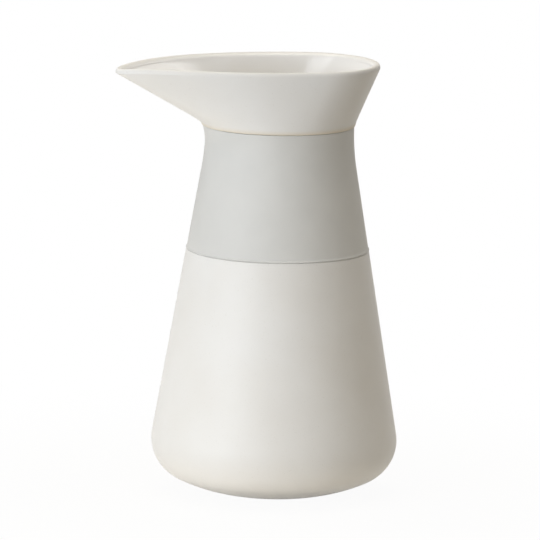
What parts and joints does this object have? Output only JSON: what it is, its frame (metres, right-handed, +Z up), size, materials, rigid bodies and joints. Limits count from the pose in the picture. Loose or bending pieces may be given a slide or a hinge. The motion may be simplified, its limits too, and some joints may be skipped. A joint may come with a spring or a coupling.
{
  "type": "hot milk jug with lid",
  "caption": "Conical stoneware milk jug with a collar drawn out into a spout, a flush silicone grip sleeve round its neck and a lift-out lid.",
  "frame": {"origin": "centre of the flat foot that the jug stands on", "axes": "+Z up along the jug's axis, -X towards the tip of the spout, the XZ plane is the mirror plane"},
  "size_m": [0.1165, 0.099, 0.175],
  "materials": {
    "stoneware": "satin",
    "sleeve_silicone": "matte",
    "seal_silicone": "matte"
  },
  "bodies": {
    "jug": {"jug_body": "stoneware", "grip_sleeve": "sleeve_silicone"},
    "lid": {"lid_plate": "stoneware", "lid_seal": "seal_silicone", "lid_knob": "seal_silicone"}
  },
  "joints": [
    {"name": "lid_lift", "type": "slide", "parent": "jug", "child": "lid", "axis": [0, 0, 1], "range_m": [0, 0.06]}
  ]
}
